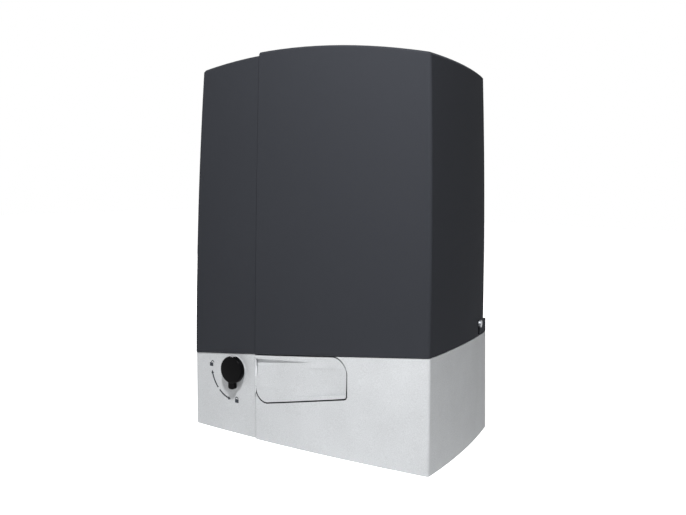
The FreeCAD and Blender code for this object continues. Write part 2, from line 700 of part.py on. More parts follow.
finish("lock_cam", cut("LockCam",
                       fuse("LockCamBody",
                            cylinder("LockCamEye", "7", "3", TO_REAR, y="lock_face + 22.4", **lock_spot),
                            box("LockCamArm", "cap_x", "cap_x + 26", "lock_face + 22.4", "lock_face + 25.4",
                                "cap_z - 4.5", "cap_z + 4.5")),
                       cylinder("LockCamHole", "4 + seat_gap", "10", TO_REAR, y="lock_face + 20",
                                **lock_spot)))
CAP_BACK = "(lock_face - 1.9)"
CAP_FRONT = "(%s - cap_thickness)" % CAP_BACK
HINGE_TOP = {"y": "lock_face - cap_hinge_out", "z": "cap_z + cap_radius - cap_hinge_drop"}


def across_cap(name, radius, width):
    """A rod on the cap's hinge, along X."""
    return cylinder(name, radius, width, TO_RIGHT, x="cap_x - (%s) / 2" % width, **HINGE_TOP)


turned_cap = doc.addObject("Part::Revolution", "CapTurned")
turned_cap.Source = loose_sketch("CapProfile", [
    ("0", CAP_FRONT), ("cap_radius - cap_edge", CAP_FRONT + " + cap_crown"),
    ("cap_radius", CAP_FRONT + " + cap_crown + cap_edge"), ("cap_radius", CAP_BACK), ("0", CAP_BACK)],
    {0: "cap_crown * 0.25", 1: "0.293 * cap_edge"}, z="0")
turned_cap.Axis = V(0, 1, 0)
turned_cap.Angle = 360
turned_cap.Solid = True
cap_disc = doc.addObject("Part::Compound", "CapDisc")
cap_disc.Links = [turned_cap]
place(cap_disc, "cap_x", "0", "cap_z")
tab = box("CapTab", "cap_x - cap_tab_width / 2", "cap_x + cap_tab_width / 2",
          CAP_BACK + " - cap_tab_thickness",
          CAP_BACK, "cap_z - cap_tab_reach", "cap_z - cap_radius / 2")
tab_round = eased("Part::Fillet", "CapTabRound", tab, "cap_tab_radius",
                  lambda b: b.YLength > 1 and b.XLength < 0.1 and b.ZLength < 0.1
                  and b.ZMax < value("cap_z - 15"))
notch = box("CapNotch", "cap_x - cap_ear_width / 2 - 0.4", "cap_x + cap_ear_width / 2 + 0.4",
            "lock_face - cap_hinge_out - cap_ear_radius - 0.6", "lock_face",
            "cap_z + cap_radius - cap_hinge_drop - 4.4", "cap_z + cap_radius + 1")
finish("lock_cap", cut("LockCap", fuse("LockCapBody", cap_disc, tab_round), notch,
                       across_cap("CapPinHole", "cap_pin_radius + seat_gap", "cap_pin_length")))
finish("cap_hinge_pin", across_cap("CapHingePin", "cap_pin_radius", "cap_pin_length - 0.2"))
ear = fuse("CapEar", across_cap("CapEarEye", "cap_ear_radius", "cap_ear_width"),
           box("CapEarRoot", "cap_x - cap_ear_width / 2", "cap_x + cap_ear_width / 2",
               "lock_face - cap_hinge_out",
               "lock_face - 0.8", "cap_z + cap_radius - cap_hinge_drop - 4",
               "cap_z + cap_radius - cap_hinge_drop"))
housing = fuse("LockHousingBody",
               cylinder("LockSleeve", "barrel_radius + 2.5", "22", TO_REAR, y="lock_face", **lock_spot),
               cylinder("LockFlange", "lock_pad_radius - 2", "1.6", TO_REAR, y="lock_face - 1.6",
                        **lock_spot), ear)
finish("lock_housing", cut("LockHousing", housing,
                           cylinder("LockBore", "barrel_radius + running_fit", "40", TO_REAR,
                                    y="lock_face - 5", **lock_spot),
                           across_cap("CapEarBore", "cap_pin_radius + running_fit", "cap_ear_width + 2")))

# ---------------------------------------------------------------- gears
PRESSURE_ANGLE = math.radians(20)


def gear_section(module, teeth, y):
    """Involute gear outline in the plane across Y; each flank is an arc through three of its points."""
    pitch = module * teeth / 2
    base_radius = pitch * math.cos(PRESSURE_ANGLE)
    tip, root = pitch + module, pitch - 1.25 * module

    def half_angle(radius):
        alpha = math.acos(min(1.0, base_radius / radius))
        involute = math.tan(alpha) - alpha
        return math.pi / (2 * teeth) + math.tan(PRESSURE_ANGLE) - PRESSURE_ANGLE - involute - 0.004

    def spot(radius, angle):
        return V(radius * math.sin(angle), y, radius * math.cos(angle))

    start = max(base_radius, root + 0.01)
    middle = (start + tip) / 2
    edges = []
    for i in range(teeth):
        turn = 2 * math.pi * i / teeth
        following = turn + 2 * math.pi / teeth
        rise = [spot(r, turn - half_angle(r)) for r in (start, middle, tip)]
        fall = [spot(r, turn + half_angle(r)) for r in (tip, middle, start)]
        foot = spot(root, turn - half_angle(start))
        heel = spot(root, turn + half_angle(start))
        edges += [Part.LineSegment(foot, rise[0]).toShape(), Part.Arc(*rise).toShape(),
                  Part.LineSegment(rise[2], fall[0]).toShape(), Part.Arc(*fall).toShape(),
                  Part.LineSegment(fall[2], heel).toShape(),
                  Part.LineSegment(heel, spot(root, following - half_angle(start))).toShape()]
    return Part.Face(Part.Wire(edges))


def gear_blank(name, module, teeth, width, y):
    """Toothed disc with its axis along Y at the output shaft's height."""
    gear = doc.addObject("Part::Feature", name)
    gear.Shape = gear_section(value(module), int(value(teeth)), 0).extrude(V(0, value(width), 0))
    return place(gear, y=y, z="output_z")


def on_output(name, radius, y0, y1):
    """A rod or disc on the output shaft's axis."""
    return cylinder(name, radius, "(%s) - (%s)" % (y1, y0), TO_REAR, y=y0, z="output_z")


OUTPUT_BORE = "shaft_radius + running_fit"
hub = on_output("PinionHub", "pinion_module * 5.4", "pinion_front - 2", "pinion_front")
key_seat = box("PinionKeySeat", "-3 - seat_gap", "3 + seat_gap", "pinion_front - 5", "shaft_end + 5",
               "output_z", "output_z + shaft_radius + 3 + seat_gap")
finish("pinion", cut("Pinion", fuse("PinionBody", gear_blank("PinionTeeth", "pinion_module", "pinion_teeth",
                                                             "pinion_width", "pinion_front"), hub),
                     on_output("PinionBore", "shaft_radius + seat_gap", "pinion_front - 5", "shaft_end + 5"),
                     key_seat))
shaft_hole = on_output("ShaftTap", "4 + seat_gap", "shaft_end - 24", "shaft_end + 1")
key_slot = box("ShaftKeySlot", "-3 - seat_gap", "3 + seat_gap", "pinion_front + 2", "shaft_end + 5",
               "output_z + shaft_radius - 3.5", "output_z + shaft_radius + 5")
finish("output_shaft",
       cut("OutputShaft", on_output("OutputShaftRod", "shaft_radius", "shaft_front", "shaft_end"),
                           shaft_hole, key_slot))
finish("shaft_key", box("ShaftKey", "-3", "3", "pinion_front + 2.2", "shaft_end - 1",
                        "output_z + shaft_radius - 3.4", "output_z + shaft_radius + 2.9"))
finish("pinion_washer", cut("PinionWasher", on_output("WasherDisc", "shaft_radius + 3.5", "shaft_end + 0.2",
                                                      "shaft_end + 2.7"),
                            on_output("WasherHole", "4.2", "shaft_end - 5", "shaft_end + 8")))
screw = fuse("PinionScrewBody", on_output("PinionScrewHead", "6.5", "shaft_end + 2.8", "shaft_end + 10.3"),
             on_output("PinionScrewShank", "4", "shaft_end - 20", "shaft_end + 3"))
socket = doc.addObject("Part::Prism", "ScrewSocket")
place(socket, y="shaft_end + 6", z="output_z", turn=TO_REAR)
bind(socket, Circumradius="3.4", Height="10")
socket.Polygon = 6
finish("pinion_screw", cut("PinionScrew", screw, socket))

WHEEL_FRONT, WHEEL_REAR = "(wheel_y - wheel_width / 2)", "(wheel_y + wheel_width / 2)"
wheel_hub = on_output("WheelHub", "collar_radius + 4", WHEEL_FRONT + " - 2", WHEEL_REAR + " + 2.5")
COLLAR_REAR = "(%s - 2.6)" % WHEEL_FRONT
COLLAR_FRONT = "(%s - collar_length)" % COLLAR_REAR
dogs, dog_slots = [], []
for i in range(3):
    for parts, name, grow in ((dogs, "Dog%d", 0), (dog_slots, "DogSlot%d", 0.5)):
        dog = box(name % i, "-3 - %s" % grow, "3 + %s" % grow, COLLAR_REAR + " - 2",
                  COLLAR_REAR + " + 5 + %s" % grow,
                  "output_z + shaft_radius + 1.5 - %s" % grow, "output_z + collar_radius - 1.5 + %s" % grow)
        doc.recompute()
        turned = doc.addObject("Part::Feature", (name % i) + "Turned")
        turned.Shape = dog.Shape.rotated(V(0, 0, value("output_z")), V(0, 1, 0), 120 * i)
        parts.append(turned)
finish("worm_wheel",
       cut("WormWheel", fuse("WheelBody", gear_blank("WheelTeeth", "wheel_module", "wheel_teeth",
                                                                   "wheel_width", WHEEL_FRONT), wheel_hub),
                         on_output("WheelBore", OUTPUT_BORE, WHEEL_FRONT + " - 5", WHEEL_REAR + " + 5"),
           *dog_slots))
groove = cut("ForkGroove", on_output("ForkGrooveOuter", "collar_radius + 5",
                                     "(%s + %s - fork_groove) / 2" % (COLLAR_FRONT, COLLAR_REAR),
                                     "(%s + %s + fork_groove) / 2" % (COLLAR_FRONT, COLLAR_REAR)),
             on_output("ForkGrooveInner", "collar_radius - 4", COLLAR_FRONT + " - 5", COLLAR_REAR + " + 5"))
finish("clutch_collar",
       cut("ClutchCollar", fuse("CollarBody", on_output("CollarRing", "collar_radius", COLLAR_FRONT,
                                                                       COLLAR_REAR), *dogs),
                            on_output("CollarBore", OUTPUT_BORE, COLLAR_FRONT + " - 5", COLLAR_REAR + " + 9"),
           groove))
FORK_Y = "((%s + %s) / 2)" % (COLLAR_FRONT, COLLAR_REAR)
fork_ring = common("ForkArc",
                   on_output("ForkDisc", "collar_radius + 5", FORK_Y + " - 1.8", FORK_Y + " + 1.8"),
                   box("ForkLeft", "-40", "2", "-60", "60", "0", "140"))
fork = fuse("ForkBody", fork_ring,
            box("ForkArm", "rail_x", "-collar_radius", FORK_Y + " - 1.8", FORK_Y + " + 1.8", "output_z - 5",
                "output_z + 5"),
            cylinder("ForkEye", "rail_radius + 3", "9", TO_REAR, x="rail_x", y=FORK_Y + " - 4.5",
                     z="output_z"))
finish("shift_fork", cut("ShiftFork", fork, on_output("ForkThroat", "collar_radius - 3.6", "-60", "60"),
                         box("ForkMouth", "-3", "50", "-60", "60", "0", "140"),
                         cylinder("ForkBore", "rail_radius + seat_gap", "60", TO_REAR, x="rail_x", y="-30",
                                  z="output_z")))
finish("shift_rail", cylinder("ShiftRail", "rail_radius", FORK_Y + " + 5 - rail_front", TO_REAR, x="rail_x",
                              y="rail_front", z="output_z"))

# ---------------------------------------------------------------- gearcase and motor
WORM_X = "(wheel_module * wheel_teeth / 2 + worm_pitch_radius)"
CASE_REAR = "(%s + case_clearance)" % WHEEL_REAR
SHAFT_END = "(body_depth / 2 + 2.6)"
worm_spot = {"x": WORM_X, "y": "wheel_y"}
shell = fuse("CaseOutside",
             on_output("CaseDrum", CASE_RADIUS, "case_front", CASE_REAR + " + 6"),
             on_output("CaseBoss", "bearing_radius + 4", CASE_REAR, SHAFT_END),
             box("CaseFoot", "-50", "50", "case_front", CASE_REAR + " + 4", "floor_thickness + 2", "30"),
             cylinder("WormHousing", "worm_tip_radius + 6", "motor_bottom - 14", z="14", **worm_spot),
             cylinder("MotorFlange", "motor_radius + 1", "6", z="motor_bottom - 6", **worm_spot),
             box("TransformerShelf", "-62", "30", "0", CASE_REAR + " + 4", "motor_bottom - 12",
                 "motor_bottom"),
             *[cylinder("CaseLug%d" % i, "6.5", "14", TO_REAR, x="(%s + 1) * cos(%d)" % (CASE_RADIUS, a),
                        y="case_front", z="output_z + (%s + 1) * sin(%d)" % (CASE_RADIUS, a))
               for i, a in enumerate((30, 90, 150, 210, 330), 1)])
cavity = [on_output("CaseCavity", CASE_RADIUS + " - case_wall", "case_front - 5", CASE_REAR),
          on_output("CaseShaftWay", "shaft_radius + 2", "0", "body_depth"),
          on_output("CaseBearingSeat", "bearing_radius + seat_gap",
                    SHAFT_END + " - bearing_width - seal_width - 0.6",
                    "body_depth"),
          cylinder("WormWay", "worm_tip_radius + 1", "motor_bottom", z="20", **worm_spot),
          cylinder("WormBearingSeat", "16 + seat_gap", "20", z="motor_bottom - 9.2", **worm_spot)]
tapped = [cylinder("CaseTap%d" % i, "screw_radius + seat_gap", "20", TO_REAR,
                   x="(%s + 1) * cos(%d)" % (CASE_RADIUS, a),
                   y="case_front - 8", z="output_z + (%s + 1) * sin(%d)" % (CASE_RADIUS, a))
          for i, a in enumerate((30, 90, 150, 210, 330), 1)]
finish("gearcase_body", cut("GearcaseBody", shell, *cavity, *tapped))
lid = fuse("CaseLid",
           on_output("CaseLidDisc", CASE_RADIUS, "case_front - case_cover_thickness", "case_front"),
           on_output("CaseLidBoss", "bearing_radius + 4", "shaft_front - 3", "case_front - 3"),
           *[cylinder("LidLug%d" % i, "6.5", "case_cover_thickness", TO_REAR,
                      x="(%s + 1) * cos(%d)" % (CASE_RADIUS, a),
                      y="case_front - case_cover_thickness",
                      z="output_z + (%s + 1) * sin(%d)" % (CASE_RADIUS, a))
             for i, a in enumerate((30, 90, 150, 210, 330), 1)])
lid_taps = [cylinder("LidHole%d" % i, "screw_radius + seat_gap", "20", TO_REAR,
                     x="(%s + 1) * cos(%d)" % (CASE_RADIUS, a), y="case_front - 12",
                     z="output_z + (%s + 1) * sin(%d)" % (CASE_RADIUS, a))
            for i, a in enumerate((30, 90, 150, 210, 330), 1)]
finish("gearcase_cover", cut("GearcaseCover", lid,
                             on_output("LidBearingSeat", "bearing_radius + seat_gap", "shaft_front",
                                       "case_front + 1"),
                             cylinder("LidRailHole", "rail_radius + running_fit", "40", TO_REAR, x="rail_x",
                                      y="case_front - 20", z="output_z"), *lid_taps))
for i, a in enumerate((30, 90, 150, 210, 330), 1):
    spot = {"x": "(%s + 1) * cos(%d)" % (CASE_RADIUS, a),
            "z": "output_z + (%s + 1) * sin(%d)" % (CASE_RADIUS, a)}
    finish("gearcase_screw_%d" % i, fuse(
        "GearcaseScrew%d" % i,
        cylinder("CaseScrewHead%d" % i, "screw_radius + 1.9", "3.5", TO_REAR,
                 y="case_front - case_cover_thickness - 3.5", **spot),
        cylinder("CaseScrewShank%d" % i, "screw_radius", "case_cover_thickness + 11", TO_REAR,
                 y="case_front - case_cover_thickness", **spot)))
finish("output_bearing_front",
       cut("FrontBearing", on_output("FrontBearingRing", "bearing_radius", "shaft_front + 0.2",
                                                             "shaft_front + bearing_width"),
                                   on_output("FrontBearingBore", OUTPUT_BORE, "shaft_front - 5",
                                             "case_front")))
SEAL_REAR = "(%s - 0.3)" % SHAFT_END
finish("output_bearing_rear", cut("RearBearing", on_output("RearBearingRing", "bearing_radius",
                                                           SEAL_REAR + " - seal_width - bearing_width",
                                                           SEAL_REAR + " - seal_width"),
                                  on_output("RearBearingBore", OUTPUT_BORE, "0", "body_depth")))
finish("oil_seal",
       cut("OilSeal", on_output("OilSealRing", "bearing_radius", SEAL_REAR + " - seal_width", SEAL_REAR),
                       on_output("OilSealBore", OUTPUT_BORE, "0", "body_depth")))
WORM_TOP = "(motor_bottom + motor_height + bell_height + 16)"
finish("worm_shaft", fuse("WormShaft",
                          cylinder("WormCore", "worm_core_radius",
                                   "motor_bottom + motor_height + bell_height - 21",
                                   z="21", **worm_spot),
                          cylinder("WormTip", "worm_core_radius - 2.5", "%s - 21" % WORM_TOP, z="21",
                                   **worm_spot)))
for node, name, outer, z0, z1 in (("worm_bearing_lower", "LowerWormBearing", "worm_tip_radius + 1 - seat_gap",
                                   "21",
                                   "30"),
                                  ("worm_bearing_upper", "UpperWormBearing", "16", "motor_bottom - 9",
                                   "motor_bottom - 0.2")):
    finish(node,
           tube(name, outer, "worm_core_radius + running_fit", "%s - (%s)" % (z1, z0), z=z0, **worm_spot))
MOTOR_TOP = "(motor_bottom + motor_height)"
finish("motor_body",
       tube("MotorBody", "motor_radius", "worm_core_radius + 1", "motor_height", z="motor_bottom",
                          **worm_spot))
bell = fuse("BellBody", cylinder("BellDisc", "motor_radius", "bell_height - 5", z=MOTOR_TOP, **worm_spot),
            cone("BellCone", "motor_radius", "motor_radius - 5", "5", z=MOTOR_TOP + " + bell_height - 5",
                 **worm_spot))
finish("motor_end_bell",
       cut("MotorEndBell", bell, cylinder("BellBore", "worm_core_radius + 1", "60", z=MOTOR_TOP + " - 5",
                                                          **worm_spot)))
DISC_Z = "(%s - 5)" % WORM_TOP
finish("encoder_disc",
       tube("EncoderDisc", "17", "worm_core_radius - 2.5 + seat_gap", "1.6", z=DISC_Z, **worm_spot))
sensor = box("SensorBody", WORM_X + " - 24", WORM_X + " - 12", "wheel_y - 6", "wheel_y + 6",
             MOTOR_TOP + " + bell_height", DISC_Z + " + 6")
finish("encoder_sensor", cut("EncoderSensor", sensor,
                             box("SensorGap", WORM_X + " - 19", WORM_X, "wheel_y - 10", "wheel_y + 10",
                                 DISC_Z + " - 1.2", DISC_Z + " + 2.8")))
# ---------------------------------------------------------------- electrics
shelf_spot = {"x": "-27", "y": "24"}
finish("transformer_coil", tube("TransformerCoil", "33", "9", "38", z="motor_bottom", **shelf_spot))
finish("transformer_clamp",
       fuse("TransformerClamp", cylinder("ClampDisc", "20", "2.5", z="motor_bottom + 38", **shelf_spot),
                                 cylinder("ClampBolt", "3", "46", z="motor_bottom", **shelf_spot)))
legs = [box("TrayLeg%d" % i, x, "%s + 8" % x, "tray_y - 1", "tray_y + 6", "floor_thickness",
            "tray_bottom + 20")
        for i, x in enumerate(("tray_left + 2", "tray_right - 13"), 1)]
studs = [cylinder("TrayStud%d" % i, "3.5", "board_standoff", TO_REAR, x=x, y="tray_y - board_standoff", z=z)
         for i,
         (x, z) in enumerate((("tray_left + 12", "tray_bottom + 22"), ("tray_right - 12", "tray_bottom + 22"),
                                     ("tray_left + 12", "tray_top - 22"),
                              ("tray_right - 12", "tray_top - 22")), 1)]
finish("board_tray",
       fuse("BoardTray", box("TrayPlate", "tray_left", "tray_right", "tray_y", "tray_y + tray_wall",
                                           "tray_bottom", "tray_top"), *legs, *studs))
BOARD_FRONT = "(tray_y - board_standoff - board_thickness)"
finish("control_board",
       box("ControlBoard", "tray_left + board_margin", "tray_right - board_margin", BOARD_FRONT,
                            "tray_y - board_standoff", "tray_bottom + 3 * board_margin",
           "tray_top - 3 * board_margin"))
for i in range(3):
    x = "tray_left + board_margin + 3 + %d" % (28 * i)
    finish("terminal_block_%d" % (i + 1),
           box("TerminalBlock%d" % (i + 1), x, x + " + 25", BOARD_FRONT + " - 11",
                                              BOARD_FRONT, "tray_bottom + 3 * board_margin + 4",
                                              "tray_bottom + 3 * board_margin + 18"))
for i in range(2):
    z = "tray_top - 70 + %d" % (24 * i)
    finish("relay_%d" % (i + 1),
           box("Relay%d" % (i + 1), "tray_right - 34", "tray_right - 15", BOARD_FRONT + " - 15",
                                     BOARD_FRONT, z, z + " + 19"))
finish("capacitor", cylinder("Capacitor", "11", "26", TO_REAR, x="tray_left + 30", y=BOARD_FRONT + " - 26",
                             z="tray_top - 50"))
finish("fuse_holder",
       box("FuseHolder", "tray_left + 16", "tray_left + 42", BOARD_FRONT + " - 10", BOARD_FRONT,
                          "tray_bottom + 60", "tray_bottom + 69"))

# ---------------------------------------------------------------- checks and export
doc.recompute()
for obj in doc.Objects:
    if "Invalid" in obj.State or "Error" in obj.State:
        raise SystemExit("failed: %s %s" % (obj.Name, obj.State))
for obj in FINISHED:
    if obj.Shape.isNull() or not obj.Shape.isValid() or len(obj.Shape.Solids) != 1:
        raise SystemExit("bad shape: %s, %d solids" % (obj.Label, len(obj.Shape.Solids)))
for obj in FINISHED:
    obj.Shape.exportStep("parts/%s.step" % obj.Label)
print(len(FINISHED), "parts written")
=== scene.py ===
import math
import bmesh
import bpy
from mathutils import Matrix, Vector
from mathutils.bvhtree import BVHTree


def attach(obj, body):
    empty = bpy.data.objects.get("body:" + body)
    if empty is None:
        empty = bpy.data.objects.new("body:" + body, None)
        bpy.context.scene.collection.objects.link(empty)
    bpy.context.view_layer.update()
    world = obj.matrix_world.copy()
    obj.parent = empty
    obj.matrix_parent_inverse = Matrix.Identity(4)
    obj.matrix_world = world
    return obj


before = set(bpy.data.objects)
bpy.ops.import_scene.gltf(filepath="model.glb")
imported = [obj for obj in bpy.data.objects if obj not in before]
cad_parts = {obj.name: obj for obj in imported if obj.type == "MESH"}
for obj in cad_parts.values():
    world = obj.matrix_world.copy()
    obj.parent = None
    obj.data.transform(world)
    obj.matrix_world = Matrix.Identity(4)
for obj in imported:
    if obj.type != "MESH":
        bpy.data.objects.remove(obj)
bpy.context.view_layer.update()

# ---- Base casting and release flap -------------------------------------------------
# Pressure die-cast aluminium, shot-blasted and sprayed with a satin silver paint whose
# fine flakes give it a close, bright grain. The flap is cast and painted with the base.


def fine_grain():
    """Shared group: a close grain over slow cloudiness, as a shade about 1 and as a relief."""
    group = bpy.data.node_groups.new("fine_grain", "ShaderNodeTree")
    for label, default in (("Grain Scale", 900.0), ("Grain Amount", 0.1), ("Cloud Scale", 14.0),
                           ("Cloud Amount", 0.04)):
        socket = group.interface.new_socket(label, in_out="INPUT", socket_type="NodeSocketFloat")
        socket.default_value = default
    group.interface.new_socket("Shade", in_out="OUTPUT", socket_type="NodeSocketFloat")
    group.interface.new_socket("Relief", in_out="OUTPUT", socket_type="NodeSocketFloat")
    nodes, links = group.nodes, group.links
    given, out = nodes.new("NodeGroupInput"), nodes.new("NodeGroupOutput")
    spot = nodes.new("ShaderNodeTexCoord")
    shades = []
    for scale, amount, detail in (("Grain Scale", "Grain Amount", 2.0),
                                  ("Cloud Scale", "Cloud Amount", 3.0)):
        noise = nodes.new("ShaderNodeTexNoise")
        noise.inputs["Detail"].default_value = detail
        links.new(spot.outputs["Object"], noise.inputs["Vector"])
        links.new(given.outputs[scale], noise.inputs["Scale"])
        centred = nodes.new("ShaderNodeMath")
        centred.operation = "SUBTRACT"
        centred.inputs[1].default_value = 0.5
        links.new(noise.outputs["Fac"], centred.inputs[0])
        swing = nodes.new("ShaderNodeMath")
        swing.operation = "MULTIPLY"
        links.new(centred.outputs[0], swing.inputs[0])
        links.new(given.outputs[amount], swing.inputs[1])
        shades.append(swing)
        if scale == "Grain Scale":
            links.new(noise.outputs["Fac"], out.inputs["Relief"])
    both = nodes.new("ShaderNodeMath")
    links.new(shades[0].outputs[0], both.inputs[0])
    links.new(shades[1].outputs[0], both.inputs[1])
    lifted = nodes.new("ShaderNodeMath")
    lifted.inputs[1].default_value = 1.0
    links.new(both.outputs[0], lifted.inputs[0])
    links.new(lifted.outputs[0], out.inputs["Shade"])
    return group


GRAIN = fine_grain()
RELIEF_DEPTH = 0.0001


def surface(name, colour, rough, metal=0.0, grain=(900.0, 0.1), cloud=(14.0, 0.04), relief=0.0,
            specular=0.5):
    """A finish whose colour varies with the grain (scale, amount), and whose relief feeds a bump."""
    material = bpy.data.materials.new(name)
    material.use_nodes = True
    nodes, links = material.node_tree.nodes, material.node_tree.links
    shader = nodes["Principled BSDF"]
    shader.inputs["Roughness"].default_value = rough
    shader.inputs["Metallic"].default_value = metal
    shader.inputs["Specular IOR Level"].default_value = specular
    texture = nodes.new("ShaderNodeGroup")
    texture.node_tree = GRAIN
    texture.inputs["Grain Scale"].default_value, texture.inputs["Grain Amount"].default_value = grain
    texture.inputs["Cloud Scale"].default_value, texture.inputs["Cloud Amount"].default_value = cloud
    tint = nodes.new("ShaderNodeVectorMath")
    tint.operation = "SCALE"
    tint.inputs[0].default_value = colour
    links.new(texture.outputs["Shade"], tint.inputs["Scale"])
    links.new(tint.outputs[0], shader.inputs["Base Color"])
    if relief:
        bump = nodes.new("ShaderNodeBump")
        bump.inputs["Strength"].default_value = relief
        bump.inputs["Distance"].default_value = RELIEF_DEPTH
        links.new(texture.outputs["Relief"], bump.inputs["Height"])
        links.new(bump.outputs["Normal"], shader.inputs["Normal"])
    return material


def dress(material, *names):
    """Give whole CAD nodes one finish."""
    for name in names:
        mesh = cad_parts[name].data
        mesh.materials.clear()
        mesh.materials.append(material)


silver = surface("satin_silver_paint", (0.595, 0.61, 0.625), 0.55, metal=0.12, grain=(1100.0, 0.42),
                 cloud=(30.0, 0.14), relief=0.2, specular=0.03)
dress(silver, "base_casting", "release_flap")
# The pocket behind the flap: its walls and floor are coloured dark as painted shade of the recess.
# Beside the upper hinge boss the pocket begins further right.
POCKET_LEFT, POCKET_LEFT_BY_BOSS, BOSS_FOOT, POCKET_RIGHT = -0.0532, -0.0480, 0.066, 0.056
POCKET_LOW, POCKET_HIGH = 0.030, 0.100
POCKET_MOUTH, POCKET_FLOOR, POCKET_BACK = -0.0912, -0.0850, -0.0800
WALL_FACING = 0.6         # a face is a wall if less than this of its normal points along Y
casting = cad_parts["base_casting"].data
casting.materials.append(surface("painted_pocket_shade", (0.045, 0.046, 0.048), 0.7, metal=0.3, relief=0.3,
                                 specular=0.1))
for face in casting.polygons:
    x, y, z = face.center
    left = POCKET_LEFT if z < BOSS_FOOT else POCKET_LEFT_BY_BOSS
    inside = left < x < POCKET_RIGHT and POCKET_LOW < z < POCKET_HIGH and POCKET_MOUTH < y < POCKET_BACK
    if inside and (abs(face.normal.y) < WALL_FACING or y > POCKET_FLOOR):
        face.material_index = 1

# ---- Cover -------------------------------------------------------------------------
# One injection moulding in anthracite plastic with a fine, dull mould texture.
dress(surface("anthracite_plastic", (0.0365, 0.0388, 0.0455), 0.8, grain=(1600.0, 0.12), cloud=(9.0, 0.05),
              relief=0.10, specular=0.05), "cover")

# ---- Screws of the cover and levelling screws --------------------------------------
# Zinc-plated steel: two side screws hold the cover, in a darker, rougher copy of the zinc
# whose darker colour is painted shade, and four grub screws level the base. The other screws,
# the washer, the clamp and the pins share the bright finish.
zinc = surface("zinc_plated_steel", (0.62, 0.63, 0.65), 0.28, metal=1.0, grain=(700.0, 0.10), relief=0.05)
dress(surface("shaded_zinc_copy", (0.30, 0.31, 0.33), 0.42, metal=1.0, grain=(700.0, 0.15)), "cover_screw_left",
      "cover_screw_right")
dress(zinc, *("levelling_screw_%d" % i for i in range(1, 5)), *("gearcase_screw_%d" % i for i in range(1, 6)),
      "pinion_washer", "pinion_screw", "transformer_clamp", "flap_hinge_pin", "cap_hinge_pin")

# ---- Lock --------------------------------------------------------------------------
# A black moulded weather cap over a chromed key barrel in its collar.
dress(surface("glossy_black_plastic", (0.0025, 0.0025, 0.003), 0.28, grain=(900.0, 0.1), specular=0.04),
      "lock_cap")
dress(surface("chromed_lock", (0.80, 0.80, 0.82), 0.12, metal=1.0, grain=(300.0, 0.04)), "lock_housing",
      "lock_barrel")

# ---- Printed lock signs ------------------------------------------------------------
# Dark grey pad-printed signs beside the lock: an open and a closed padlock, joined by two
# curved strokes with arrowheads, thin as paint and lying on the bowed panel.
INK = surface("grey_print", (0.045, 0.05, 0.06), 0.6, grain=(900.0, 0.15), specular=0.1)
INK_LIFT = 0.00006
SIGN_STEP = 0.002         # an edge longer than this is divided, so that a sign follows the bow
IN_FRONT = -0.2           # a plane well before the panel, from which signs are laid on it
SIGNS_X, SIGNS_Z, STROKE_RADIUS, STROKE_WIDTH, ARROW_RADIUS = -0.0842, 0.0685, 0.0338, 0.0018, 0.0024
OPEN_SIGN_AT, CLOSED_SIGN_AT = (-0.1183, 0.0706), (-0.0812, 0.0366)
LOCK_BODY_WIDTH, LOCK_BODY_HEIGHT, LOCK_BODY_CORNER, LOCK_BODY_DROP = 0.0052, 0.0040, 0.0006, 0.0019
SHACKLE_RADIUS, SHACKLE_WIDTH, SHACKLE_RISE = 0.0018, 0.0010, 0.0004
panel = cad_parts["base_casting"].data
panel_tree = BVHTree.FromPolygons([v.co for v in panel.vertices], [p.vertices for p in panel.polygons])


def sector(shape, centre, radius, width, start, sweep, steps=24):
    """A bowed stroke in the upright plane, by spinning a short edge; angles from +X towards +Z."""
    spoke = Vector((math.cos(start), 0, math.sin(start)))
    ends = [shape.verts.new(centre + spoke * (radius + side * width / 2)) for side in (-1, 1)]
    edge = shape.edges.new(ends)
    bmesh.ops.spin(shape, geom=ends + [edge], cent=centre, axis=(0, -1, 0), angle=sweep, steps=steps)


def plate(shape, centre, width, height, corner):
    """A small rounded plate in the upright plane."""
    made = bmesh.ops.create_grid(shape, x_segments=1, y_segments=1, size=0.5)["verts"]
    bmesh.ops.scale(shape, verts=made, vec=(width, height, 1))
    bmesh.ops.rotate(shape, verts=made, cent=(0, 0, 0), matrix=Matrix.Rotation(math.radians(90), 3, "X"))
    bmesh.ops.translate(shape, verts=made, vec=centre)
    bmesh.ops.bevel(shape, geom=made, offset=corner, affect="VERTICES", segments=4, profile=0.5, material=-1)


def arrowhead(shape, centre, size, angle):
    """A triangle that points along an angle from +X towards +Z."""
    made = bmesh.ops.create_circle(shape, cap_ends=True, radius=size, segments=3)["verts"]
    bmesh.ops.rotate(shape, verts=made, cent=(0, 0, 0), matrix=Matrix.Rotation(math.radians(90), 3, "X"))
    bmesh.ops.rotate(shape, verts=made, cent=(0, 0, 0),
                     matrix=Matrix.Rotation(-angle + math.radians(90), 3, "Y"))
    bmesh.ops.translate(shape, verts=made, vec=centre)


def printed(name, shape):
    """Lay a flat sign on the panel and keep it there as a film of ink."""
    bmesh.ops.subdivide_edges(shape, edges=[e for e in shape.edges if e.calc_length() > SIGN_STEP], cuts=2,
                              use_grid_fill=True)
    for vert in shape.verts:
        hit = panel_tree.ray_cast(Vector((vert.co.x, IN_FRONT, vert.co.z)), Vector((0, 1, 0)))[0]
        vert.co.y = hit.y - INK_LIFT
    for face in shape.faces:
        face.normal_update()
        if face.normal.y > 0:
            face.normal_flip()
    mesh = bpy.data.meshes.new(name)
    shape.to_mesh(mesh)
    shape.free()
    mesh.materials.append(INK)
    obj = bpy.data.objects.new(name, mesh)
    bpy.context.collection.objects.link(obj)
    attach(obj, "chassis")
    return obj


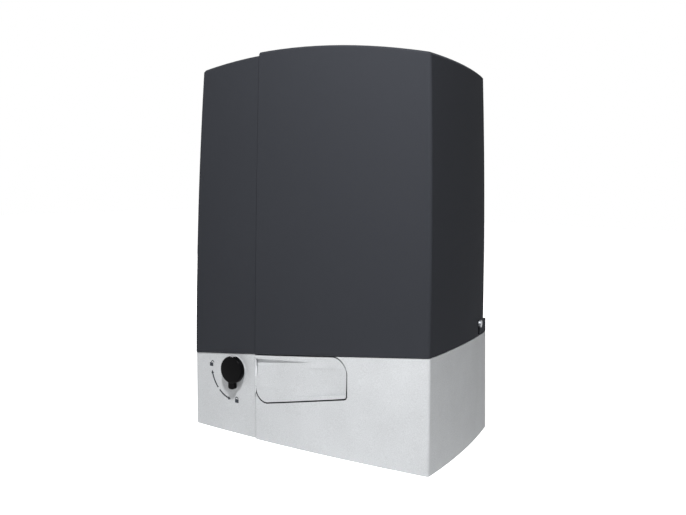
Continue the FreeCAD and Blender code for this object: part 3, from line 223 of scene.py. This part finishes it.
def padlock(name, x, z, opened):
    """Body and shackle; an open shackle is turned to one side."""
    shape = bmesh.new()
    plate(shape, Vector((x, 0, z - LOCK_BODY_DROP)), LOCK_BODY_WIDTH, LOCK_BODY_HEIGHT, LOCK_BODY_CORNER)
    centre = Vector((x + (SHACKLE_RADIUS if opened else 0), 0, z + SHACKLE_RISE))
    sector(shape, centre, SHACKLE_RADIUS, SHACKLE_WIDTH, 0.0, math.pi, steps=12)
    printed(name, shape)


padlock("open_padlock_sign", *OPEN_SIGN_AT, True)
padlock("closed_padlock_sign", *CLOSED_SIGN_AT, False)
middle = Vector((SIGNS_X, 0, SIGNS_Z))
# Each stroke: its first angle and its sweep, and the angle of its arrowhead's tip and how that turns.
for label, start, sweep, tip, turned in (("upper_turn_stroke", 194, 30, 194, -90),
                                         ("lower_turn_stroke", 229, 25, 256, 90)):
    shape = bmesh.new()
    sector(shape, middle, STROKE_RADIUS, STROKE_WIDTH, math.radians(start), math.radians(sweep))
    spoke = Vector((math.cos(math.radians(tip)), 0, math.sin(math.radians(tip))))
    arrowhead(shape, middle + spoke * STROKE_RADIUS, ARROW_RADIUS, math.radians(tip + turned))
    printed(label, shape)

# ---- Cable entry and seal ----------------------------------------------------------
# Black rubber edging around the cable opening, and the shaft's lip seal.
dress(surface("black_rubber", (0.022, 0.022, 0.023), 0.75, grain=(600.0, 0.2), relief=0.2), "cable_grommet",
      "oil_seal")

# ---- Gears and shafts --------------------------------------------------------------
# Turned and hobbed steel, a bronze worm wheel, ground bearings.
hobbed = surface("machined_steel", (0.46, 0.46, 0.48), 0.34, metal=1.0, grain=(500.0, 0.14), relief=0.08)
dress(hobbed, "pinion", "output_shaft", "shaft_key", "clutch_collar", "shift_fork", "shift_rail", "lock_cam",
      "worm_shaft")
dress(surface("ground_steel", (0.66, 0.66, 0.68), 0.2, metal=1.0), "output_bearing_front",
      "output_bearing_rear", "worm_bearing_lower", "worm_bearing_upper")
dress(surface("gear_bronze", (0.55, 0.34, 0.13), 0.33, metal=1.0, grain=(500.0, 0.14)), "worm_wheel")

# ---- Gearcase and motor ------------------------------------------------------------
# As-cast aluminium housing and end bell, a black-lacquered motor can.
dress(surface("cast_aluminium", (0.55, 0.56, 0.57), 0.52, metal=0.9, grain=(420.0, 0.28), relief=0.5),
      "gearcase_body", "gearcase_cover", "motor_end_bell")
dress(surface("black_lacquer", (0.030, 0.032, 0.035), 0.36, grain=(900.0, 0.12)), "motor_body")

# ---- Electrics ---------------------------------------------------------------------
# Moulded tray, coated circuit board, green terminals, dark blue relays and capacitor, taped
# transformer.
dress(surface("tray_plastic", (0.09, 0.09, 0.10), 0.5, relief=0.1), "board_tray", "encoder_disc",
      "encoder_sensor", "fuse_holder")
dress(surface("coated_board", (0.015, 0.13, 0.06), 0.32, grain=(260.0, 0.5)), "control_board")
dress(surface("terminal_plastic", (0.04, 0.30, 0.10), 0.42), "terminal_block_1", "terminal_block_2",
      "terminal_block_3")
dress(surface("relay_plastic", (0.02, 0.05, 0.16), 0.35), "relay_1", "relay_2", "capacitor")
dress(surface("transformer_tape", (0.42, 0.29, 0.05), 0.45, cloud=(60.0, 0.3)), "transformer_coil")

# ---- Studio ------------------------------------------------------------------------
# A pale floor that fades into a white world, a key lamp high at the front right, a weak
# one lower beside it, one behind, and a camera a little above the middle.


def white_rays(nodes, links):
    """One for rays from the camera, from gloss and through glass, none for the others."""
    path = nodes.new("ShaderNodeLightPath")
    first, both = nodes.new("ShaderNodeMath"), nodes.new("ShaderNodeMath")
    both.use_clamp = True
    links.new(path.outputs["Is Camera Ray"], first.inputs[0])
    links.new(path.outputs["Is Glossy Ray"], first.inputs[1])
    links.new(first.outputs[0], both.inputs[0])
    links.new(path.outputs["Is Transmission Ray"], both.inputs[1])
    return both.outputs[0]


def studio_white(name, near, far, reach):
    """A pale surface that shows white to the camera, to gloss and through glass; its glow
    is weaker near the middle, where the lamps' light makes it up to white."""
    material = bpy.data.materials.new(name)
    material.use_nodes = True
    nodes, links = material.node_tree.nodes, material.node_tree.links
    plain = nodes["Principled BSDF"]
    plain.inputs["Base Color"].default_value = (0.82, 0.82, 0.82, 1)
    plain.inputs["Roughness"].default_value = 0.9
    glow = nodes.new("ShaderNodeEmission")
    spot, away, fade = (nodes.new(kind) for kind in ("ShaderNodeTexCoord", "ShaderNodeVectorMath",
                                                     "ShaderNodeMapRange"))
    away.operation = "LENGTH"
    links.new(spot.outputs["Object"], away.inputs[0])
    links.new(away.outputs["Value"], fade.inputs["Value"])
    for socket, value in zip(("From Min", "From Max", "To Min", "To Max"), reach + (near, far)):
        fade.inputs[socket].default_value = value
    links.new(fade.outputs[0], glow.inputs["Strength"])
    seen = nodes.new("ShaderNodeAddShader")
    links.new(plain.outputs[0], seen.inputs[0])
    links.new(glow.outputs[0], seen.inputs[1])
    mix = nodes.new("ShaderNodeMixShader")
    links.new(white_rays(nodes, links), mix.inputs[0])
    links.new(plain.outputs[0], mix.inputs[1])
    links.new(seen.outputs[0], mix.inputs[2])
    links.new(mix.outputs[0], nodes["Material Output"].inputs["Surface"])
    return material


FLOOR_REACH, FLOOR_GAP = 4.0, 0.0002
NEAR_GLOW, FAR_GLOW, GLOW_REACH = 0.84, 1.0, (0.15, 0.6)
floor_mesh = bpy.data.meshes.new("floor")
shape = bmesh.new()
bmesh.ops.create_grid(shape, x_segments=1, y_segments=1, size=FLOOR_REACH)
bmesh.ops.translate(shape, verts=shape.verts, vec=(0, 0, -FLOOR_GAP))
shape.to_mesh(floor_mesh)
shape.free()
floor = bpy.data.objects.new("floor", floor_mesh)
bpy.context.collection.objects.link(floor)
floor_mesh.materials.append(studio_white("pale_floor", NEAR_GLOW, FAR_GLOW, GLOW_REACH))

AMBIENT = 0.04
world = bpy.data.worlds.new("studio")
bpy.context.scene.world = world
world.use_nodes = True
world_nodes, world_links = world.node_tree.nodes, world.node_tree.links
soft = world_nodes["Background"]
soft.inputs["Color"].default_value = (1, 1, 1, 1)
soft.inputs["Strength"].default_value = AMBIENT
bright = world_nodes.new("ShaderNodeBackground")
bright.inputs["Color"].default_value = (1, 1, 1, 1)
bright.inputs["Strength"].default_value = 1.0
choose = world_nodes.new("ShaderNodeMixShader")
world_links.new(white_rays(world_nodes, world_links), choose.inputs[0])
world_links.new(soft.outputs[0], choose.inputs[1])
world_links.new(bright.outputs[0], choose.inputs[2])
world_links.new(choose.outputs[0], world_nodes["World Output"].inputs["Surface"])


def lamp(name, place, aim, size, power):
    """A square soft box that faces a point."""
    data = bpy.data.lights.new(name, "AREA")
    data.size = size
    data.energy = power
    obj = bpy.data.objects.new(name, data)
    obj.location = place
    obj.rotation_euler = (Vector(aim) - Vector(place)).to_track_quat("-Z", "Y").to_euler()
    bpy.context.collection.objects.link(obj)
    return obj


lamp("key_box", (0.29, -0.60, 0.84), (0.05, 0, 0.12), 0.08, 10.2)
lamp("side_box", (0.7, -1.0, 0.35), (0, 0, 0.2), 0.3, 0.5)
lamp("back_box", (-1.3, 1.3, 0.8), (0, 0, 0.2), 1.0, 16)

# The view: focal length in picture widths, then yaw, pitch and roll, and where the middle of
# the front's foot lies from the eye: to the right, ahead and up.
FOCAL, SENSOR_WIDTH = 1.26531, 36.0
YAW, PITCH, ROLL = math.radians(-34.0), math.radians(5.45), math.radians(-0.918)
FRONT_FOOT = Vector((0, -0.088, 0))
FROM_EYE = Vector((-0.044853, 0.868067, -0.190433))
turn = Matrix.Rotation(-ROLL, 3, "Y") @ Matrix.Rotation(PITCH, 3, "X") @ Matrix.Rotation(YAW, 3, "Z")
eye = FRONT_FOOT - turn.transposed() @ FROM_EYE
right, ahead, up = turn.row
camera_data = bpy.data.cameras.new("camera")
camera_data.sensor_width = SENSOR_WIDTH
camera_data.lens = SENSOR_WIDTH * FOCAL
camera = bpy.data.objects.new("camera", camera_data)
pose = Matrix((right, up, -ahead)).transposed().to_4x4()
pose.translation = eye
camera.matrix_world = pose
bpy.context.collection.objects.link(camera)
bpy.context.scene.camera = camera
bpy.context.scene.view_settings.view_transform = "Standard"
